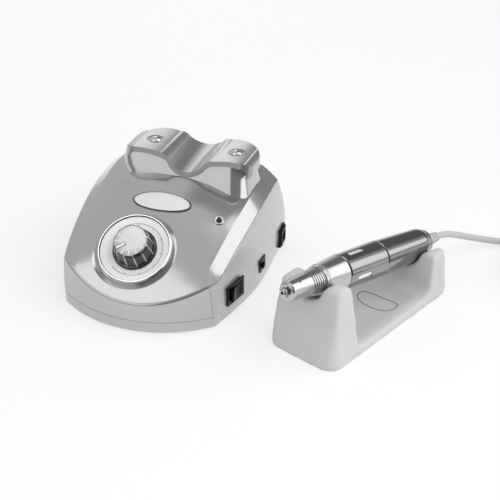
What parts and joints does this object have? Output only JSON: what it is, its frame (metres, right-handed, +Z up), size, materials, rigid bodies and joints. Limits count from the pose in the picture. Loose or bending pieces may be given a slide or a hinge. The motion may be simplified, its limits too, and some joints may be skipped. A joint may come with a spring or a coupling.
{
  "type": "surgical micromotor",
  "caption": "Table-top control unit with speed dial and saddle, straight motor handpiece with twist-lock chuck resting in its own stand, and its cord with plug.",
  "frame": {"origin": "on the table, under the middle of the box round the control unit, stand and handpiece", "axes": "+X from the control unit to the handpiece stand, +Y from the dial to the back, +Z up"},
  "size_m": [0.4221, 0.2095, 0.0857],
  "materials": {
    "light_grey_plastic": "satin",
    "metallic_grey_plastic": "metallic gloss",
    "dark_gloss_plastic": "gloss",
    "screw_steel": "polished",
    "bezel_chrome": "polished",
    "dial_silver": "satin",
    "knob_metal": "brushed top",
    "pointer_white": "gloss",
    "nameplate_silver": "satin",
    "lens_dark": "clear",
    "black_plastic": "satin",
    "contact_brass": "polished",
    "bright_steel": "polished",
    "potentiometer_grey": "matt",
    "foot_rubber": "matt",
    "core_steel": "matt",
    "winding_copper": "varnished",
    "board_green": "satin",
    "nose_steel": "polished",
    "sleeve_steel": "dark polished",
    "inner_alloy": "turned",
    "brush_plastic": "matt",
    "brush_carbon": "matt",
    "relief_grey": "matt",
    "cord_grey": "matt",
    "stand_grey": "matt"
  },
  "bodies": {
    "root": {"base_screws": "bright_steel", "base_tray": "light_grey_plastic", "brush_carrier": "brush_plastic", "brushes": "brush_carbon", "circuit_board": "board_green", "cord_coil": "cord_grey", "cord_run": "cord_grey", "cord_tail": "cord_grey", "dial_bezel": "bezel_chrome", "dial_plate": "dial_silver", "foot_control_jack": "bright_steel", "front_collar": "nose_steel", "fuse_holder": "black_plastic", "handpiece_socket": "black_plastic", "handpiece_stand": "stand_grey", "hood": "metallic_grey_plastic", "inner_barrel": "inner_alloy", "lamp_bezel": "bezel_chrome", "lamp_lens": "lens_dark", "mains_inlet": "black_plastic", "motor_can": "inner_alloy", "motor_magnets": "core_steel", "motor_sleeve": "sleeve_steel", "nameplate": "nameplate_silver", "nose_cone": "nose_steel", "plug_body": "black_plastic", "plug_pins": "contact_brass", "plug_sleeve": "bright_steel", "potentiometer": "potentiometer_grey", "potentiometer_nut": "bright_steel", "rear_bearing": "bright_steel", "rear_cap": "sleeve_steel", "rocker_pin": "bright_steel", "rubber_feet": "foot_rubber", "saddle_cradle": "dark_gloss_plastic", "saddle_screws": "screw_steel", "slide_switch_frame": "black_plastic", "socket_contacts": "contact_brass", "spindle_bearings": "bright_steel", "strain_relief": "relief_grey", "switch_frame": "black_plastic", "transformer_core": "core_steel", "transformer_winding": "winding_copper"},
    "knob": {"speed_knob": "knob_metal", "knob_pointer": "pointer_white", "potentiometer_shaft": "bright_steel"},
    "rocker": {"power_rocker": "black_plastic"},
    "slide_tab": {"slide_switch_tab": "black_plastic"},
    "chuck": {"chuck_ring": "sleeve_steel"},
    "spindle": {"spindle": "bright_steel", "drive_coupling": "bright_steel", "rotor_core": "core_steel", "commutator": "contact_brass", "motor_shaft": "bright_steel"},
    "collet": {"collet": "bright_steel"}
  },
  "joints": [
    {"name": "speed_knob_turn", "type": "hinge", "parent": "root", "child": "knob", "pos_m": [-0.07466, -0.04127, 0.0452], "axis": [0, -0.5446, 0.8387], "range_deg": [-264, 6]},
    {"name": "power_rocker_tip", "type": "hinge", "parent": "root", "child": "rocker", "pos_m": [-0.00126, -0.03477, 0.0186], "axis": [0, 0, 1], "range_deg": [-16, 0]},
    {"name": "slide_switch_travel", "type": "slide", "parent": "root", "child": "slide_tab", "axis": [0.0523, 0.9986, 0], "range_m": [0, 0.0033]},
    {"name": "chuck_ring_twist", "type": "hinge", "parent": "root", "child": "chuck", "pos_m": [0.06444, -0.05877, 0.0546], "axis": [0.4296, 0.8808, -0.1994], "range_deg": [0, 60]},
    {"name": "spindle_spin", "type": "hinge", "parent": "root", "child": "spindle", "pos_m": [0.06444, -0.05877, 0.0546], "axis": [0.4296, 0.8808, -0.1994], "continuous": true},
    {"name": "collet_release", "type": "slide", "parent": "spindle", "child": "collet", "axis": [-0.4296, -0.8808, 0.1994], "range_m": [0, 0.0008]}
  ],
  "couplings": [
    {"joint": "collet_release", "follows": "chuck_ring_twist", "m_per_rad": 0.00076394}
  ]
}
